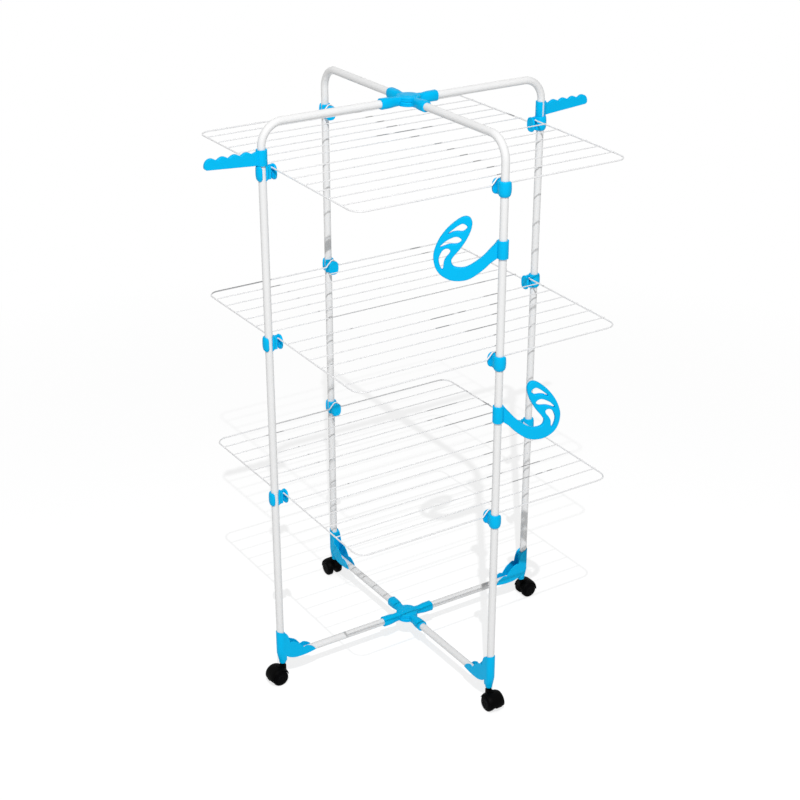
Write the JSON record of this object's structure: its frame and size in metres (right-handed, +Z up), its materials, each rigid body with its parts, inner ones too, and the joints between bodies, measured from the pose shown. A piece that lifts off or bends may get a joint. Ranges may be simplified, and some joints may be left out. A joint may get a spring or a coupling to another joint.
{
  "type": "tower clothes airer",
  "caption": "Tall white tube tower airer with three folding wire drying shelves, blue clips, swivel hooks, hanger arms and twin-wheel casters.",
  "frame": {"origin": "on the floor under the middle of the tower, below the crossing hubs", "axes": "+Z up; X runs from the left upright to the right one, Y from the front upright, which carries the hooks, to the back one"},
  "size_m": [1.028, 0.8278, 1.4406],
  "materials": {
    "white_tube": "smooth white powder coat",
    "white_wire": "white plastic-dipped wire",
    "blue_plastic": "satin moulded plastic",
    "black_plastic": "satin black moulded plastic",
    "black_wheel": "black caster tread"
  },
  "bodies": {
    "frame": {"left_upright": "white_tube", "right_upright": "white_tube", "back_upright": "white_tube", "front_upright": "white_tube", "left_bottom_tube": "white_tube", "right_bottom_tube": "white_tube", "back_bottom_tube": "white_tube", "front_bottom_tube": "white_tube", "top_hub_upper_arm": "blue_plastic", "top_hub_lower_arm": "blue_plastic", "bottom_hub_upper_arm": "blue_plastic", "bottom_hub_lower_arm": "blue_plastic", "left_corner_gusset": "blue_plastic", "right_corner_gusset": "blue_plastic", "back_corner_gusset": "blue_plastic", "front_corner_gusset": "blue_plastic", "left_upper_shelf_clip": "blue_plastic", "left_middle_shelf_clip": "blue_plastic", "left_lower_shelf_clip": "blue_plastic", "right_upper_shelf_clip": "blue_plastic", "right_middle_shelf_clip": "blue_plastic", "right_lower_shelf_clip": "blue_plastic", "back_upper_shelf_clip": "blue_plastic", "back_middle_shelf_clip": "blue_plastic", "back_lower_shelf_clip": "blue_plastic", "front_upper_shelf_clip": "blue_plastic", "front_middle_shelf_clip": "blue_plastic", "front_lower_shelf_clip": "blue_plastic"},
    "left_caster": {"left_caster_hood": "black_plastic"},
    "left_first_wheel": {"left_caster_first_wheel": "black_wheel"},
    "left_second_wheel": {"left_caster_second_wheel": "black_wheel"},
    "right_caster": {"right_caster_hood": "black_plastic"},
    "right_first_wheel": {"right_caster_first_wheel": "black_wheel"},
    "right_second_wheel": {"right_caster_second_wheel": "black_wheel"},
    "back_caster": {"back_caster_hood": "black_plastic"},
    "back_first_wheel": {"back_caster_first_wheel": "black_wheel"},
    "back_second_wheel": {"back_caster_second_wheel": "black_wheel"},
    "front_caster": {"front_caster_hood": "black_plastic"},
    "front_first_wheel": {"front_caster_first_wheel": "black_wheel"},
    "front_second_wheel": {"front_caster_second_wheel": "black_wheel"},
    "upper_front_leaf": {"upper_front_shelf": "white_wire"},
    "upper_back_leaf": {"upper_back_shelf": "white_wire"},
    "middle_front_leaf": {"middle_front_shelf": "white_wire"},
    "middle_back_leaf": {"middle_back_shelf": "white_wire"},
    "lower_front_leaf": {"lower_front_shelf": "white_wire"},
    "lower_back_leaf": {"lower_back_shelf": "white_wire"},
    "left_arm": {"left_hanger_arm": "blue_plastic"},
    "right_arm": {"right_hanger_arm": "blue_plastic"},
    "upper_hook_body": {"upper_hook": "blue_plastic"},
    "lower_hook_body": {"lower_hook": "blue_plastic"}
  },
  "joints": [
    {"name": "left_caster_swivel", "type": "hinge", "parent": "frame", "child": "left_caster", "pos_m": [-0.372, 0, 0.0542], "axis": [0, 0, 1], "continuous": true},
    {"name": "right_caster_swivel", "type": "hinge", "parent": "frame", "child": "right_caster", "pos_m": [0.372, 0, 0.0542], "axis": [0, 0, 1], "continuous": true},
    {"name": "back_caster_swivel", "type": "hinge", "parent": "frame", "child": "back_caster", "pos_m": [0, 0.368, 0.0542], "axis": [0, 0, 1], "continuous": true},
    {"name": "front_caster_swivel", "type": "hinge", "parent": "frame", "child": "front_caster", "pos_m": [0, -0.368, 0.0542], "axis": [0, 0, 1], "continuous": true},
    {"name": "left_first_wheel_roll", "type": "hinge", "parent": "left_caster", "child": "left_first_wheel", "pos_m": [-0.3885, -0.0145, 0.02118], "axis": [0, 1, 0], "continuous": true},
    {"name": "left_second_wheel_roll", "type": "hinge", "parent": "left_caster", "child": "left_second_wheel", "pos_m": [-0.3885, 0.0145, 0.02118], "axis": [0, 1, 0], "continuous": true},
    {"name": "right_first_wheel_roll", "type": "hinge", "parent": "right_caster", "child": "right_first_wheel", "pos_m": [0.3885, 0.0145, 0.02118], "axis": [0, 1, 0], "continuous": true},
    {"name": "right_second_wheel_roll", "type": "hinge", "parent": "right_caster", "child": "right_second_wheel", "pos_m": [0.3885, -0.0145, 0.02118], "axis": [0, 1, 0], "continuous": true},
    {"name": "back_first_wheel_roll", "type": "hinge", "parent": "back_caster", "child": "back_first_wheel", "pos_m": [-0.0145, 0.3845, 0.02118], "axis": [1, 0, 0], "continuous": true},
    {"name": "back_second_wheel_roll", "type": "hinge", "parent": "back_caster", "child": "back_second_wheel", "pos_m": [0.0145, 0.3845, 0.02118], "axis": [1, 0, 0], "continuous": true},
    {"name": "front_first_wheel_roll", "type": "hinge", "parent": "front_caster", "child": "front_first_wheel", "pos_m": [0.0145, -0.3845, 0.02118], "axis": [1, 0, 0], "continuous": true},
    {"name": "front_second_wheel_roll", "type": "hinge", "parent": "front_caster", "child": "front_second_wheel", "pos_m": [-0.0145, -0.3845, 0.02118], "axis": [1, 0, 0], "continuous": true},
    {"name": "upper_front_leaf_fold", "type": "hinge", "parent": "frame", "child": "upper_front_leaf", "pos_m": [0, -0.0055, 1.3313], "axis": [-1, 0, 0], "range_deg": [0, 9]},
    {"name": "upper_back_leaf_fold", "type": "hinge", "parent": "frame", "child": "upper_back_leaf", "pos_m": [0, 0.0055, 1.322], "axis": [1, 0, 0], "range_deg": [0, 9]},
    {"name": "middle_front_leaf_fold", "type": "hinge", "parent": "frame", "child": "middle_front_leaf", "pos_m": [0, -0.0055, 0.9323], "axis": [-1, 0, 0], "range_deg": [0, 30]},
    {"name": "middle_back_leaf_fold", "type": "hinge", "parent": "frame", "child": "middle_back_leaf", "pos_m": [0, 0.0055, 0.923], "axis": [1, 0, 0], "range_deg": [0, 80]},
    {"name": "lower_front_leaf_fold", "type": "hinge", "parent": "frame", "child": "lower_front_leaf", "pos_m": [0, -0.0055, 0.5333], "axis": [-1, 0, 0], "range_deg": [0, 80]},
    {"name": "lower_back_leaf_fold", "type": "hinge", "parent": "frame", "child": "lower_back_leaf", "pos_m": [0, 0.0055, 0.524], "axis": [1, 0, 0], "range_deg": [0, 80]},
    {"name": "left_arm_swing", "type": "hinge", "parent": "frame", "child": "left_arm", "pos_m": [-0.376, 0, 1.338], "axis": [0, 0, 1], "range_deg": [-90, 90]},
    {"name": "right_arm_swing", "type": "hinge", "parent": "frame", "child": "right_arm", "pos_m": [0.376, 0, 1.338], "axis": [0, 0, 1], "range_deg": [-90, 90]},
    {"name": "upper_hook_swivel", "type": "hinge", "parent": "frame", "child": "upper_hook_body", "pos_m": [0, -0.372, 1.1865], "axis": [0, 0, 1], "continuous": true},
    {"name": "lower_hook_swivel", "type": "hinge", "parent": "frame", "child": "lower_hook_body", "pos_m": [0, -0.372, 0.7965], "axis": [0, 0, 1], "continuous": true}
  ]
}
